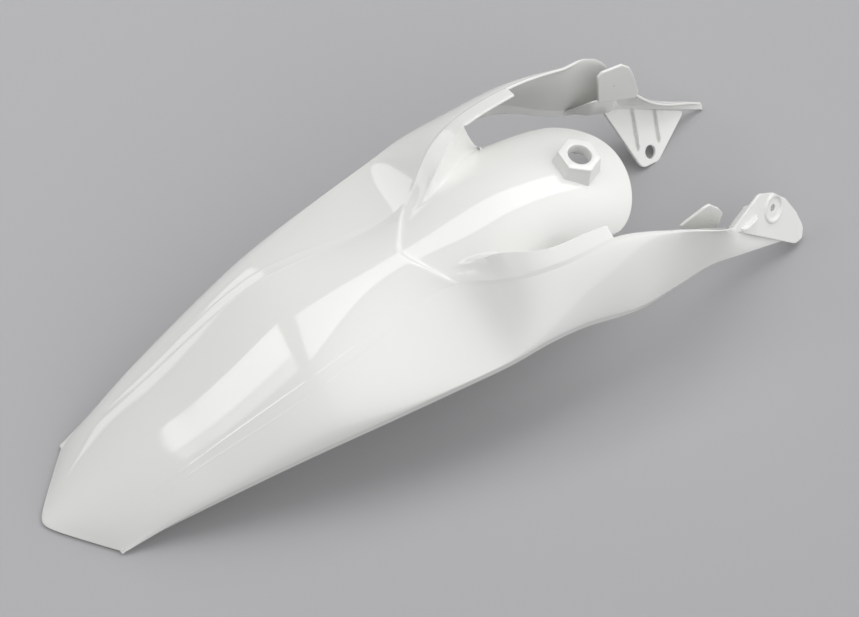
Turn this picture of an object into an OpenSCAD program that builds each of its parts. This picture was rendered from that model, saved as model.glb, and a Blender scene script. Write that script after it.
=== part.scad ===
// Rear fender of an off-road motorcycle, moulded in one piece.
// X runs forward from the tail, Y to the left, Z up. The fender lies on a flat
// floor, on its tail edge and on the ends of its two front arms. Sizes are taken
// from the tail tip and from that floor. The finished part then has its origin
// at the centre of the top face of the boss.

/* [Shell] */
// Wall thickness of the moulding
wall = 2.6; // [2:0.1:3.2]
// Length from the tail tip to the ends of the arms
arm_end = 690; // [670:1:710]
// Depth of the lip along the lower edge of the skirts
lip_h = 13; // [8:1:16]
// How far the lip turns inwards
lip_in = 2.5; // [1:0.5:4]

/* [Tail] */
// How far the tail tip stands out past its two corners
tail_point = 44; // [34:1:54]
// Half width between the tail corners
tail_half_w = 55; // [48:1:62]
// Length over which the pointed cross lines die away
tail_fade = 165; // [140:1:190]

/* [Rear body] */
// Station of the first section
quarter_x = 120; // [110:1:130]
// Height of its centre line
quarter_h = 72; // [66:1:78]
// Half width of its lower edge
quarter_half_w = 76; // [70:1:82]
// Height of its lower edge
quarter_edge_h = 43; // [38:1:48]
// Half width between its creases
quarter_crease_w = 43.5; // [38:0.5:49]
// Drop from the centre line to the crease
quarter_crown = 6; // [4:0.5:9]
// Width of the bevel outside the crease
quarter_bevel_w = 6; // [4:0.5:8]

/* [Middle body] */
// Station of the middle section
mid_x = 230; // [215:1:245]
// Height of its centre line
mid_h = 128.5; // [122:0.5:135]
// Half width of its lower edge
mid_half_w = 96.5; // [90:0.5:103]
// Height of its lower edge
mid_edge_h = 80; // [74:1:86]
// Half width between its creases
mid_crease_w = 50; // [44:0.5:56]
// Drop from the centre line to the crease
mid_crown = 8; // [6:0.5:10]
// Width of the bevel outside the crease
mid_bevel_w = 10; // [7:0.5:12]

/* [Seat recess] */
// Station of the tip of the recess on the centre line
seat_x = 338; // [325:1:350]
// Height of the body there
seat_h = 152; // [148:0.5:158]
// Half width of the body at its lower edge
seat_half_w = 109.5; // [104:0.5:115]
// Height of the lower edge there
seat_edge_h = 97; // [91:1:103]
// Half width of the recess where its side ridges start
seat_ridge_w = 44; // [38:0.5:50]
// Height at which the side ridges start
seat_ridge_h = 142.5; // [139:0.5:146]
// How far the rear edge of the recess is swept forward
seat_sweep = 28; // [18:1:38]
// Depth of the step at the rear edge
seat_step = 2.2; // [1.5:0.1:3]
// Length of that step
seat_step_l = 4; // [3:0.5:6]

/* [Side ridges] */
// Station at which the slots beside the tongue start
slot_x = 447; // [435:1:459]
// Half width of the recess at the ridges there
slot_ridge_w = 81.5; // [78:0.5:85]
// Height of the ridges there
slot_ridge_h = 168.7; // [164:0.1:173]
// Width of the strip on each ridge at its front end
strip_w = 11; // [9:0.5:13]
// Width of the strip at the start of the slot
strip_slot_w = 14; // [12:0.5:16]
// Width of the strip where it starts beside the recess
strip_flare_w = 22; // [18:0.5:26]
// Rise of the strip inwards, per millimetre of its width
strip_slope = 0.37; // [0.2:0.01:0.5]
// Half width of the lower edge there
slot_half_w = 112; // [107:0.5:117]
// Height of the lower edge there
slot_edge_h = 104; // [98:1:110]
// Station at which the strips end
strip_end = 489; // [480:1:498]

/* [Cheeks] */
// Station where the skirts are widest
cheek_x = 500; // [490:1:510]
// Half width of the lower edge there
cheek_half_w = 113; // [109:0.5:117]
// Height of the lower edge there
cheek_edge_h = 89; // [84:1:94]

/* [Tongue] */
// How far the rear edge of a slot leans back from its foot to its top
slot_lean = 14; // [8:1:20]
// Height of the centre line at the start of the tongue
tongue_h = 167; // [163:0.5:171]
// Height of the centre line under the boss
boss_foot_h = 153.2; // [150:0.1:156]
// Height of the tip of the nose
nose_h = 133.5; // [128:0.5:139]
// Half width of the tongue
tongue_half_w = 61; // [56:0.5:64]
// Length of the straight sides past the slot start
tongue_straight = 54; // [44:1:62]
// Length of its round nose
nose_l = 47; // [40:1:54]
// Drop from the centre line to the sides of the tongue
tongue_crown = 27; // [22:0.5:30]

/* [Centre boss] */
// Distance of the boss from the tip of the nose
boss_back = 40; // [34:1:46]
// Height of the centre of its top face above the tongue
boss_h = 14.3; // [12:0.1:17]
// Tilt of the boss towards the front
boss_tilt = 13; // [8:0.5:18]
// Width across the corners of its six-sided top
boss_w = 37; // [35:0.5:40]
// Width across the corners of its flared foot
boss_foot_w = 45; // [43:0.5:50]
// Length of the upright part of the boss
boss_collar = 3; // [2:0.5:6]
// Bore of the boss
boss_bore_d = 20; // [16:0.5:24]
// Length of the bore
boss_bore_l = 10; // [8:0.5:12]

/* [Arms] */
// Station where the slope of the arms starts
arm_a_x = 545; // [535:1:555]
// Half width and height of the upper edge there
arm_a_top_w = 91.5; // [88:0.5:95]
// Height of the upper edge there
arm_a_top_h = 148.5; // [144:0.5:153]
// Half width of the lower edge there
arm_a_edge_w = 100; // [96:0.5:104]
// Height of the lower edge there
arm_a_edge_h = 68; // [62:0.5:74]
// Station where the tall part of the arms ends
arm_b_x = 588; // [580:1:594]
// Half width of the upper edge there
arm_b_top_w = 97; // [93:0.5:100]
// Height of the upper edge there
arm_b_top_h = 122; // [116:0.5:128]
// Half width of the lower edge there
arm_b_edge_w = 90; // [87:0.5:94]
// Height of the lower edge there
arm_b_edge_h = 55; // [50:0.5:60]
// Station where the narrow blades start
arm_c_x = 617; // [612:1:624]
// Half width of the upper edge there
arm_c_top_w = 79; // [76:0.5:82]
// Height of the upper edge there
arm_c_top_h = 77; // [72:0.5:82]
// Half width of the lower edge there
arm_c_edge_w = 87; // [84:0.5:90]
// Height of the lower edge there
arm_c_edge_h = 41; // [36:0.5:46]
// Half width between the ends of the blades
arm_end_w = 79; // [76:0.5:82]
// Height of a blade at its end
arm_end_h = 8; // [5:0.5:12]

/* [Side tabs] */
// Thickness of the two upright tabs
tab_t = 2.6; // [2:0.1:3.5]
// Half width between the tabs
tab_w = 79; // [77:0.5:81]
// Station of the rear end of the left tab
tab_x = 575; // [572:1:578]
// Height of the top of the tabs
tab_h = 137; // [133:0.5:141]
// Height of the foot of the tabs at their rear end
tab_foot_h = 96; // [92:0.5:100]
// Thickness of the band that joins a tab to the arm
band_t = 1.6; // [1.2:0.1:2]

/* [Left bracket] */
// Thickness of the hanging bracket
bracket_t = 3.2; // [2.5:0.1:4]
// Radius of its lower end
bracket_r = 9.5; // [8.5:0.1:10]
// Bore for the mounting bolt
bracket_bore_d = 12; // [8:0.5:12.5]
// Depth of its two ribs
bracket_rib = 3; // [1.5:0.5:5]

/* [Right ear] */
// Thickness of the ear
ear_t = 3; // [2.5:0.1:4]
// Radius of its round end
ear_r = 14; // [12:0.5:16]
// Diameter of the raised pad round the bore
ear_pad_d = 26; // [24:0.5:27]
// Diameter of the dish in the pad
ear_dish_d = 20; // [16:0.5:22]
// Bore for the mounting screw
ear_bore_d = 6.6; // [5:0.1:8]

/* [Hidden] */

// Half width and height of the crease that runs forward from the tail
tail_crease_w = 38;
// Ridge of the recess between its start and the slots
flare_x = mix(seat_x, slot_x, 0.32);
flare_w = mix(seat_ridge_w, slot_ridge_w, 0.435);
flare_h = mix(seat_ridge_h, slot_ridge_h, 0.375);

tongue_end = slot_x + tongue_straight + nose_l;
boss_x = tongue_end - boss_back;
boss_top_h = boss_foot_h + boss_h;
// Depth of the foot of the boss below its top
boss_deep = boss_h + 2 * wall;

// Smooth step from 0 to 1
function ease(t) = let (u = min(1, max(0, t))) u * u * (3 - 2 * u);
function mix(a, b, t) = a + (b - a) * t;
function unit(v) = v / norm(v);

// Slope of the curve through the stations xs and values ys, at station i
function slope_at(xs, ys, i) =
    let (n = len(xs) - 1)
    i == 0 ? (ys[1] - ys[0]) / (xs[1] - xs[0])
    : i == n ? (ys[n] - ys[n - 1]) / (xs[n] - xs[n - 1])
    : let (
        h0 = xs[i] - xs[i - 1],
        h1 = xs[i + 1] - xs[i],
        d0 = (ys[i] - ys[i - 1]) / h0,
        d1 = (ys[i + 1] - ys[i]) / h1
    ) (d0 * h1 + d1 * h0) / (h0 + h1);

// Number of the span of xs that holds x
function span(xs, x, i = 0) = i >= len(xs) - 2 || x < xs[i + 1] ? i : span(xs, x, i + 1);

// Cubic curve from a to b with the slopes m0 and m1 at its ends
function hermite(a, b, m0, m1, t) =
    a * (2 * t ^ 3 - 3 * t ^ 2 + 1) + m0 * (t ^ 3 - 2 * t ^ 2 + t)
    + b * (3 * t ^ 2 - 2 * t ^ 3) + m1 * (t ^ 3 - t ^ 2);

// Smooth curve through the values ys at the stations xs
function along(xs, ys, x) =
    let (
        u = min(xs[len(xs) - 1], max(xs[0], x)),
        i = span(xs, u),
        h = xs[i + 1] - xs[i]
    )
    hermite(ys[i], ys[i + 1], slope_at(xs, ys, i) * h, slope_at(xs, ys, i + 1) * h,
        (u - xs[i]) / h);

body_x = [0, quarter_x, mid_x, seat_x, slot_x];
edge_x = concat(body_x, [cheek_x, arm_a_x, arm_b_x, arm_c_x, arm_end]);
edge_ws = [tail_half_w, quarter_half_w, mid_half_w, seat_half_w, slot_half_w,
    cheek_half_w, arm_a_edge_w, arm_b_edge_w, arm_c_edge_w, arm_end_w - 2];
edge_hs = [0.8, quarter_edge_h, mid_edge_h, seat_edge_h, slot_edge_h,
    cheek_edge_h, arm_a_edge_h, arm_b_edge_h, arm_c_edge_h, 0.4];
ridge_x = [0, quarter_x, mid_x, seat_x, flare_x, slot_x, strip_end,
    arm_a_x, arm_b_x, arm_c_x, arm_end];
ridge_ws = [tail_crease_w, quarter_crease_w, mid_crease_w, seat_ridge_w, flare_w,
    slot_ridge_w, slot_ridge_w + 2.5, arm_a_top_w, arm_b_top_w, arm_c_top_w, arm_end_w];
ridge_hs = [wall, quarter_h - quarter_crown, mid_h - mid_crown, seat_ridge_h, flare_h,
    slot_ridge_h, slot_ridge_h + 2.5, arm_a_top_h, arm_b_top_h, arm_c_top_h, arm_end_h];
top_x = concat(body_x, [boss_x, tongue_end]);
top_hs = [wall, quarter_h, mid_h, seat_h, tongue_h, boss_foot_h, nose_h];

// Stations at which the shape of the sides is set, and the width of the bevel
// outside the ridge, its slope, the slope at which the shoulder leaves it and
// the fullness of the shoulder: 2 is an ellipse, more is squarer
side_x = [0, quarter_x, mid_x, seat_x, flare_x, slot_x, arm_a_x, arm_end];
bevel_ws = [0.6 * quarter_bevel_w, quarter_bevel_w, mid_bevel_w, 0.4 * mid_bevel_w,
    wall, wall, 0.5 * wall, 0.1 * wall];
bevel_slopes = [0, 0.42, 0.46, 0.45, 0.65, 0.9, 1, 1];
shoulder_slopes = [0, 0.13, 0.26, 0.33, 0.5, 0.7, 0.4, 0];
fullnesses = [2.4, 2.8, 2.6, 2.4, 2.1, 1.7, 1.6, 1.5];

// Lower edge of the skirt, ridge and centre line at station s
function edge_w(s) = along(edge_x, edge_ws, s);
function edge_h(s) = along(edge_x, edge_hs, s);
function ridge_w(s) = along(ridge_x, ridge_ws, s);
function ridge_h(s) = along(ridge_x, ridge_hs, s);
function top_h(s) = along(top_x, top_hs, s);

// Curvature of the cross section on top, as drop per square of the half width
function crown_at(s) =
    s < seat_x ? (top_h(s) - ridge_h(s)) / ridge_w(s) ^ 2
    : mix((seat_h - seat_ridge_h) / seat_ridge_w ^ 2, tongue_crown / tongue_half_w ^ 2,
        ease((s - seat_x) / (slot_x - seat_x)));

// Depth of the recess below the body just past its rear edge
function recess(s) =
    s < seat_x ? 0
    : seat_step * min(1, (s - seat_x) / seat_step_l)
        * (1 - ease((s - seat_x) / (slot_x - seat_x)));
function pan_h(s, w) = top_h(s) - recess(s) - crown_at(s) * w ^ 2;

// Width of the strip inside the ridge and half width of its raised inner edge
function strip_at(s) =
    along([0, mid_x, seat_x, flare_x, slot_x, strip_end],
        [0.1 * tail_crease_w, 0.1 * mid_crease_w, 0.6 * strip_flare_w, strip_flare_w,
            strip_slot_w, strip_w], s);
function strip_in_w(s) = ridge_w(s) - strip_at(s);
// How far the wall of the recess has grown at station s, from 0 to 1
function wall_at(s) = ease((s - seat_x - 15) / 50);
function strip_in_h(s) =
    mix(pan_h(s, strip_in_w(s)), ridge_h(s) + strip_slope * strip_at(s), wall_at(s));
// Half width of the foot of that wall
function pan_w(s) =
    strip_in_w(s) - mix(0.1 * ridge_w(s), slot_ridge_w - strip_slot_w - tongue_half_w,
        ease((s - seat_x) / (slot_x - seat_x))) - 4 * wall_at(s) * ease((slot_x - s) / 40);

function lip_at(s) = lip_h * mix(0.15, 1, ease(s / 150)) * mix(1, 0.4, ease((s - slot_x) / 150));

pan_n = 6;
wall_n = 4;
skirt_n = 8;
strip_c = pan_n + wall_n;
ridge_c = strip_c + 1;
bevel_c = ridge_c + 1;
band_c = bevel_c + skirt_n;
edge_c = band_c + 1;

// Half width and height of column c of the cross section at station s
function section(s, c) =
    c <= pan_n ? let (w = pan_w(s) * sin(90 * c / pan_n)) [w, pan_h(s, w)]
    : c <= strip_c ? let (
        t = (c - pan_n) / wall_n,
        run = strip_in_w(s) - pan_w(s),
        foot = pan_h(s, pan_w(s)),
        top = strip_in_h(s),
        m0 = -2 * crown_at(s) * pan_w(s) * run,
        m1 = mix(-2 * crown_at(s) * strip_in_w(s) * run, 1.8 * (top - foot), wall_at(s))
    ) [mix(pan_w(s), strip_in_w(s), t), hermite(foot, top, m0, m1, t)]
    : c == ridge_c ? [ridge_w(s), ridge_h(s)]
    : c <= band_c ? let (
        a = 90 * (c - bevel_c) / skirt_n,
        p = 2 / along(side_x, fullnesses, s),
        start_w = ridge_w(s) + along(side_x, bevel_ws, s),
        start_h = ridge_h(s) - along(side_x, bevel_ws, s) * along(side_x, bevel_slopes, s),
        fall = along(side_x, shoulder_slopes, s),
        width = edge_w(s) + lip_in - start_w,
        run = width * sin(a) ^ p
    ) [start_w + run,
        mix(edge_h(s) + lip_at(s) + fall * width, start_h, cos(a) ^ p) - fall * run]
    : [edge_w(s), edge_h(s)];

// The cross lines are pointed: swept back on the centre line at the tail and
// again at the rear edge of the recess
function point_shape(u, r) = (sqrt(u ^ 2 + r) - sqrt(r)) / (sqrt(1 + r) - sqrt(r));
function tail_sweep(s) = s > tail_fade ? 0 : tail_point * (1 - s / tail_fade) ^ 2;
function recess_sweep(s) =
    seat_sweep * ease((s - mid_x) / (seat_x - mid_x))
    * (1 - ease((s - seat_x) / (slot_x - 20 - seat_x)));
function cross_x(s, w) =
    s + tail_sweep(s) * point_shape(min(1, w / edge_w(s)), mix(0.02, 0.5, ease(s / 70)))
    + recess_sweep(s) * point_shape(min(1, w / ridge_w(s)), 0.02);

// Lean of the rear edge of the slots, shared out over the columns beside it
function lean(s, c) =
    slot_lean * ease(1 - abs(s - slot_x) / 45)
    * (c <= pan_n ? 0.35 * (c / pan_n) ^ 3
        : c <= strip_c ? mix(0.35, -0.65, (c - pan_n) / wall_n)
        : c == ridge_c ? -0.3 : c == bevel_c ? -0.2 : 0);

function body_point(s, c) =
    let (
        p = section(s, abs(c)),
        side = c < 0 ? -1 : 1
    ) [cross_x(s, p[0]) + lean(s, abs(c)), side * p[0], p[1]];

// The tongue ends in half an ellipse, t = 0 at the slots and 1 at its rim
function tongue_point(t, c) =
    let (
        f = sin(90 * abs(c) / pan_n),
        rim = slot_x + tongue_straight + nose_l * cos(90 * c / pan_n),
        x = mix(slot_x, rim, t),
        w = abs(c) == 1 ? lookup(t, boss_widths) : f * tongue_half_w,
        side = c < 0 ? -1 : 1
    ) [x, side * w, top_h(x) - tongue_crown / tongue_half_w ^ 2 * w ^ 2];

body_rows = [0, 8, 20, 36, 54, 74, 96, 120, 145, 170, 195, 220, 245, 270, 295, 318, seat_x,
    seat_x + seat_step_l, seat_x + 14, seat_x + 25, seat_x + 37, seat_x + 50, seat_x + 64,
    seat_x + 79, seat_x + 94, slot_x];
// The boss stands over a six-sided opening between three rows of the tongue and
// its two middle columns
boss_hole_r = 0.5 * (boss_w + boss_foot_w) / 2 - 0.6 * wall;
boss_foot_x = boss_x - boss_h * sin(boss_tilt);
boss_rows = [for (k = [-1:1])
    (boss_foot_x + k * sin(60) * boss_hole_r - slot_x) / (tongue_end - slot_x)];
boss_widths = [[0, sin(90 / pan_n) * tongue_half_w], [boss_rows[0], boss_hole_r / 2],
    [boss_rows[1], boss_hole_r], [boss_rows[2], boss_hole_r / 2],
    [1, sin(90 / pan_n) * tongue_half_w]];
tongue_rows = concat([for (i = [1:3]) boss_rows[0] * i / 3], [boss_rows[1], boss_rows[2]],
    [for (i = [1:4]) mix(boss_rows[2], 1, 1 - (1 - i / 4) ^ 1.4)]);
arm_rows = concat([for (i = [1:3]) mix(slot_x, strip_end, i / 3)],
    [for (i = [1:6]) mix(strip_end, arm_b_x, i / 6)],
    [for (i = [1:4]) mix(arm_b_x, arm_c_x, i / 4)],
    [for (i = [1:4]) mix(arm_c_x, arm_end, i / 4)]);
strip_rows = 3;

body_n = len(body_rows);
tongue_n = len(tongue_rows);
arm_n = len(arm_rows);
body_cols = 2 * edge_c + 1;
tongue_cols = 2 * pan_n + 1;
arm_cols = edge_c - strip_c + 1;

// Rows of points of each region, from the right side to the left
body_grid = [for (s = body_rows) [for (c = [-edge_c:edge_c]) body_point(s, c)]];
tongue_grid = concat(
    [[for (c = [-pan_n:pan_n]) body_grid[body_n - 1][c + edge_c]]],
    [for (t = tongue_rows) [for (c = [-pan_n:pan_n]) tongue_point(t, c)]]);
left_grid = concat(
    [[for (c = [strip_c:edge_c]) body_grid[body_n - 1][c + edge_c]]],
    [for (s = arm_rows) [for (c = [strip_c:edge_c]) body_point(s, c)]]);
right_grid = concat(
    [[for (c = [-edge_c:-strip_c]) body_grid[body_n - 1][c + edge_c]]],
    [for (s = arm_rows) [for (c = [-edge_c:-strip_c]) body_point(s, c)]]);

// Outward direction at point i, j of a grid
function step_dir(a, b) = norm(b - a) < 0.001 ? [0, 0, 0] : unit(b - a);
function normal_at(g, i, j) =
    let (
        p = g[i][j],
        n = len(g) - 1,
        m = len(g[0]) - 1,
        du = step_dir(g[max(0, i - 1)][j], p) + step_dir(p, g[min(n, i + 1)][j]),
        dv = step_dir(g[i][max(0, j - 1)], p) + step_dir(p, g[i][min(m, j + 1)])
    ) unit(cross(du, dv));
function inner(g, i, j) = g[i][j] - wall * normal_at(g, i, j);

// First point number of each region in the list of outer points
tongue_at = body_n * body_cols;
left_at = tongue_at + tongue_n * tongue_cols;
right_at = left_at + arm_n * arm_cols;
outer_n = right_at + arm_n * arm_cols;

function body_id(i, c) = i * body_cols + c + edge_c;
function tongue_id(i, c) =
    i == 0 ? body_id(body_n - 1, c) : tongue_at + (i - 1) * tongue_cols + c + pan_n;
function left_id(i, c) =
    i == 0 ? body_id(body_n - 1, c) : left_at + (i - 1) * arm_cols + c - strip_c;
function right_id(i, c) =
    i == 0 ? body_id(body_n - 1, c) : right_at + (i - 1) * arm_cols + c + edge_c;

// Two triangles of the outer face over four points, and two of the inner face
function skin(a, b, c, d) = [[a, b, c], [a, c, d],
    [a + outer_n, c + outer_n, b + outer_n], [a + outer_n, d + outer_n, c + outer_n]];

// The rim runs once round the whole outline: tail, left side, left slot,
// tongue, right slot and right side
rim = concat(
    [for (c = [-edge_c:edge_c]) body_id(0, c)],
    [for (i = [1:body_n - 1]) body_id(i, edge_c)],
    [for (i = [1:arm_n]) left_id(i, edge_c)],
    [for (c = [edge_c - 1:-1:ridge_c]) left_id(arm_n, c)],
    [for (i = [arm_n - 1:-1:strip_rows]) left_id(i, ridge_c)],
    [for (i = [strip_rows:-1:0]) left_id(i, strip_c)],
    [for (c = [strip_c - 1:-1:pan_n]) body_id(body_n - 1, c)],
    [for (i = [1:tongue_n]) tongue_id(i, pan_n)],
    [for (c = [pan_n - 1:-1:-pan_n]) tongue_id(tongue_n, c)],
    [for (i = [tongue_n - 1:-1:0]) tongue_id(i, -pan_n)],
    [for (c = [-pan_n - 1:-1:-strip_c]) body_id(body_n - 1, c)],
    [for (i = [1:strip_rows]) right_id(i, -strip_c)],
    [for (i = [strip_rows:arm_n]) right_id(i, -ridge_c)],
    [for (c = [-ridge_c - 1:-1:-edge_c]) right_id(arm_n, c)],
    [for (i = [arm_n - 1:-1:0]) right_id(i, -edge_c)],
    [for (i = [body_n - 2:-1:1]) body_id(i, -edge_c)]);

// Edge of the opening under the boss
boss_rim = [tongue_id(5, -1), tongue_id(5, 0), tongue_id(5, 1), tongue_id(4, 1), tongue_id(3, 1),
    tongue_id(3, 0), tongue_id(3, -1), tongue_id(4, -1)];

shell_points = concat(
    [for (row = body_grid) for (p = row) p],
    [for (i = [1:tongue_n]) for (p = tongue_grid[i]) p],
    [for (i = [1:arm_n]) for (p = left_grid[i]) p],
    [for (i = [1:arm_n]) for (p = right_grid[i]) p],
    [for (i = [0:body_n - 1]) for (j = [0:body_cols - 1]) inner(body_grid, i, j)],
    [for (i = [1:tongue_n]) for (j = [0:tongue_cols - 1]) inner(tongue_grid, i, j)],
    [for (i = [1:arm_n]) for (j = [0:arm_cols - 1]) inner(left_grid, i, j)],
    [for (i = [1:arm_n]) for (j = [0:arm_cols - 1]) inner(right_grid, i, j)]);
shell_faces = concat(
    [for (i = [0:body_n - 2]) for (c = [-edge_c:edge_c - 1])
        for (t = skin(body_id(i, c), body_id(i, c + 1), body_id(i + 1, c + 1), body_id(i + 1, c))) t],
    [for (i = [0:tongue_n - 1]) for (c = [-pan_n:pan_n - 1])
        if (i < 3 || i > 4 || abs(c + 0.5) > 1)
        for (t = skin(tongue_id(i, c), tongue_id(i, c + 1), tongue_id(i + 1, c + 1),
            tongue_id(i + 1, c))) t],
    [for (i = [0:arm_n - 1]) for (c = [(i < strip_rows ? strip_c : ridge_c):edge_c - 1])
        for (t = skin(left_id(i, c), left_id(i, c + 1), left_id(i + 1, c + 1), left_id(i + 1, c))) t],
    [for (i = [0:arm_n - 1]) for (c = [-edge_c:(i < strip_rows ? -strip_c : -ridge_c) - 1])
        for (t = skin(right_id(i, c), right_id(i, c + 1), right_id(i + 1, c + 1),
            right_id(i + 1, c))) t],
    [for (loop = [rim, boss_rim]) for (k = [0:len(loop) - 1])
        let (a = loop[k], b = loop[(k + 1) % len(loop)])
        for (t = [[b, a, a + outer_n], [b, a + outer_n, b + outer_n]]) t]);

module shell() {
    polyhedron(points = shell_points, faces = shell_faces, convexity = 10);
}

// Puts its children at a point, with their X axis along a direction and their
// Z axis along a normal
module on_plane(at, along_x, normal) {
    z = unit(normal);
    y = unit(cross(z, along_x));
    x = cross(y, z);
    multmatrix([[x[0], y[0], z[0], at[0]], [x[1], y[1], z[1], at[1]],
        [x[2], y[2], z[2], at[2]], [0, 0, 0, 1]])
        children();
}

// Place of a point in the plane that on_plane() sets up
function plane_xy(at, along_x, normal, p) =
    let (
        z = unit(normal),
        y = unit(cross(z, along_x)),
        x = cross(y, z)
    ) [(p - at) * x, (p - at) * y];

// Flat lug between two points on an arm and the round ends [x, y, radius]
// placed about its bore
module lug(foot_a, foot_b, hole, ends, thick) {
    dir = foot_b - foot_a;
    up = cross(dir, hole - foot_a);
    linear_extrude(thick)
        hull() {
            for (e = ends) translate([e[0], e[1]]) circle(e[2], $fn = 32);
            for (foot = [foot_a, foot_b])
                translate(plane_xy(hole, dir, up, foot)) circle(2, $fn = 12);
        }
}

// Puts its children at the bore of a lug, with Z through the bore
module at_lug(foot_a, foot_b, hole) {
    on_plane(hole, foot_b - foot_a, cross(foot_b - foot_a, hole - foot_a)) children();
}

// Rib from a to b, standing on the face of a lug
module rib(a, b, thick, high) {
    d = b - a;
    translate([a[0], a[1], -high])
        rotate(atan2(d[1], d[0]))
            translate([0, -thick / 2, 0]) cube([norm(d), thick, high + 0.5]);
}

// Six-sided form of the boss, made smaller all round for the hollow in it
module boss_form(inset, top) {
    rotate(30) {
        translate([0, 0, -boss_collar]) cylinder(boss_collar - top, d = boss_w - 2 * inset, $fn = 6);
        translate([0, 0, -boss_deep])
            cylinder(boss_deep - boss_collar, d1 = boss_foot_w - 2 * inset, d2 = boss_w - 2 * inset, $fn = 6);
    }
}

module boss() {
    translate([boss_x, 0, boss_top_h])
        rotate([0, boss_tilt, 0])
            difference() {
                boss_form(0, 0);
                difference() {
                    union() {
                        boss_form(1.15 * wall, 1.3 * wall);
                        translate([0, 0, -boss_deep - 1])
                            rotate(30)
                                cylinder(1.1, d = boss_foot_w - 2.3 * wall, $fn = 6);
                    }
                    translate([0, 0, -boss_bore_l])
                        cylinder(boss_bore_l, d = boss_bore_d + 2 * wall, $fn = 48);
                }
                translate([0, 0, -boss_bore_l - 1]) cylinder(boss_bore_l + 2, d = boss_bore_d, $fn = 64);
            }
}

module bracket() {
    at_lug(bracket_rear, bracket_front, bracket_hole)
        difference() {
            union() {
                lug(bracket_rear, bracket_front, bracket_hole,
                    [[-6.5, 5, bracket_r - 1], [4, 0, bracket_r]], bracket_t);
                rib([-26, -44], [-14, 0], 2.2, bracket_rib);
                rib([2, -40], [10, -8], 2.2, bracket_rib);
            }
            translate([0, 0, -1]) cylinder(bracket_t + 2, d = bracket_bore_d, $fn = 48);
        }
}

module ear() {
    at_lug(ear_rear, ear_front, ear_hole)
        difference() {
            union() {
                lug(ear_rear, ear_front, ear_hole,
                    [[-19, 0.5, ear_r - 3.5], [-4, 0, ear_r - 1], [12, -3, ear_r - 1], [30, -11, ear_r - 2],
                        [42, -18, ear_r - 4]], ear_t);
                translate([0, 0, ear_t - 0.5]) cylinder(2, d = ear_pad_d, $fn = 48);
                rib([-48, -23], [-27, 1], 2.5, 7);
                translate([0, 0, ear_t + 4]) rib([-39.5, -22], [-21, -8], 3, 4.5);
            }
            translate([0, 0, ear_t - 0.5]) cylinder(3, d = ear_dish_d, $fn = 48);
            translate([0, 0, -1]) cylinder(ear_t + 2, d = ear_bore_d, $fn = 48);
        }
}

// Half width of the outside of an arm at height z
function side_w(s, z) =
    let (
        p = 2 / along(side_x, fullnesses, s),
        low = edge_h(s) + lip_at(s),
        a = acos(min(1, max(0, (z - low) / (ridge_h(s) - low))) ^ (1 / p)),
        lip_w = edge_w(s) + lip_in * min(1, max(0, (z - edge_h(s)) / lip_at(s)))
    ) mix(ridge_w(s), lip_w, sin(a) ^ p);

// The band starts on the wall of the arm, swells inwards to the foot of the tab
// and runs back into the wall at the start of the blade
band_x = arm_a_x + 3;
band_end = arm_c_x - 8;
band_rows = 6;
band_cols = 4;
function band_point(i, j) =
    let (
        s = mix(band_x, band_end, i / band_rows),
        swell = ease((s - band_x) / (tab_x - band_x)) * ease((band_end + 3 - s) / 20),
        a = 90 * j / band_cols,
        low_z = edge_h(s) + 0.5 * wall,
        top_z = mix(tab_foot_h, arm_c_top_h - 1, (s - tab_x) / (arm_c_x - tab_x)),
        z = mix(low_z, top_z, mix(j / band_cols, 1 - cos(a), swell)),
        w = mix(edge_w(s) - 0.3 * wall, tab_w - 0.8 * tab_t, sin(a))
    ) [s, mix(side_w(s, z) - 0.9 * wall, w, swell), z, mix(90, a, swell)];
band_points = concat(
    [for (i = [0:band_rows]) for (j = [0:band_cols]) let (p = band_point(i, j)) [p[0], p[1], p[2]]],
    [for (i = [0:band_rows]) for (j = [0:band_cols]) let (p = band_point(i, j))
        [p[0], p[1] + band_t * sin(p[3]), p[2] + band_t * cos(p[3])]]);
band_k = band_cols + 1;
band_half = band_k * (band_rows + 1);
band_loop = concat(
    [for (j = [0:band_cols]) j],
    [for (i = [1:band_rows]) i * band_k + band_cols],
    [for (j = [band_cols - 1:-1:0]) band_rows * band_k + j],
    [for (i = [band_rows - 1:-1:1]) i * band_k]);
band_faces = concat(
    [for (i = [0:band_rows - 1]) for (j = [0:band_cols - 1])
        let (a = i * band_k + j, b = a + 1, c = b + band_k, d = a + band_k)
        for (f = [[a, b, c], [a, c, d], [a + band_half, c + band_half, b + band_half],
            [a + band_half, d + band_half, c + band_half]]) f],
    [for (k = [0:len(band_loop) - 1])
        let (a = band_loop[k], b = band_loop[(k + 1) % len(band_loop)])
        for (f = [[b, a, a + band_half], [b, a + band_half, b + band_half]]) f]);

// Upright tab inside the left arm, on its band. corners are its corners ahead of
// the rear end of the tab and above its top
module side_tab(corners) {
    polyhedron(points = band_points, faces = band_faces, convexity = 6);
    translate([tab_x, tab_w, tab_h])
        rotate([90, 0, 0]) linear_extrude(tab_t) polygon(corners);
}

tab_foot = tab_foot_h - tab_h - 3;
left_tab = [[3, tab_foot - 1.5], [0, -3], [3, 0], [23, -2.5], [31.5, -12], [37, -27.5],
    [43, tab_foot - 15], [42, tab_foot - 20]];
right_tab = [[0, tab_foot], [-9, -29], [-16, -13], [6, -1.5], [10, -1], [20.5, -13.5],
    [27, -26], [24, -36], [20, tab_foot - 9.5]];

bracket_rear = [592, 88, 58];
bracket_front = [668, 77, 10];
bracket_hole = [623, 55.9, 9.2];
ear_rear = [616, -77.7, 74.4];
ear_front = [689, -80, 6];
ear_hole = [664, -66, 53];

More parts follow.
